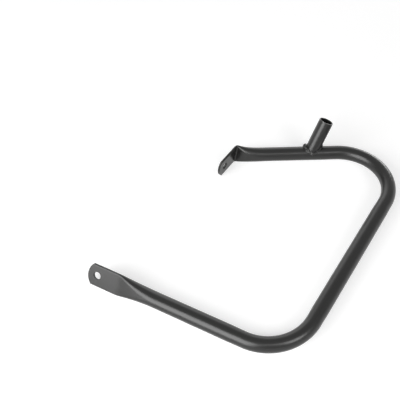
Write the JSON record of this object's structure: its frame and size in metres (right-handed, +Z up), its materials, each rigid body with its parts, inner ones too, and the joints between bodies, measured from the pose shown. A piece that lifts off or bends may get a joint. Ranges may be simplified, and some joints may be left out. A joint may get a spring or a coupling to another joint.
{
  "type": "saddlebag guard",
  "caption": "Bent round tube hoop that guards a motorbike's right saddlebag, with pressed and drilled ends and a welded open socket tube.",
  "frame": {"origin": "centre of the front bolt hole, in the middle of the pressed flat", "axes": "+X outward from the motorbike, +Y rearward along the side run, +Z up, square to the plane of the hoop"},
  "size_m": [0.3589, 0.4746, 0.0855],
  "materials": {
    "powder_coat": "satin black powder coat",
    "powder_coat_socket": "satin black powder coat over a turned tube",
    "powder_coat_weld": "satin black powder coat over a rippled weld"
  },
  "bodies": {
    "root": {"hoop_tube": "powder_coat", "socket_tube": "powder_coat_socket", "socket_weld": "powder_coat_weld"}
  },
  "joints": []
}
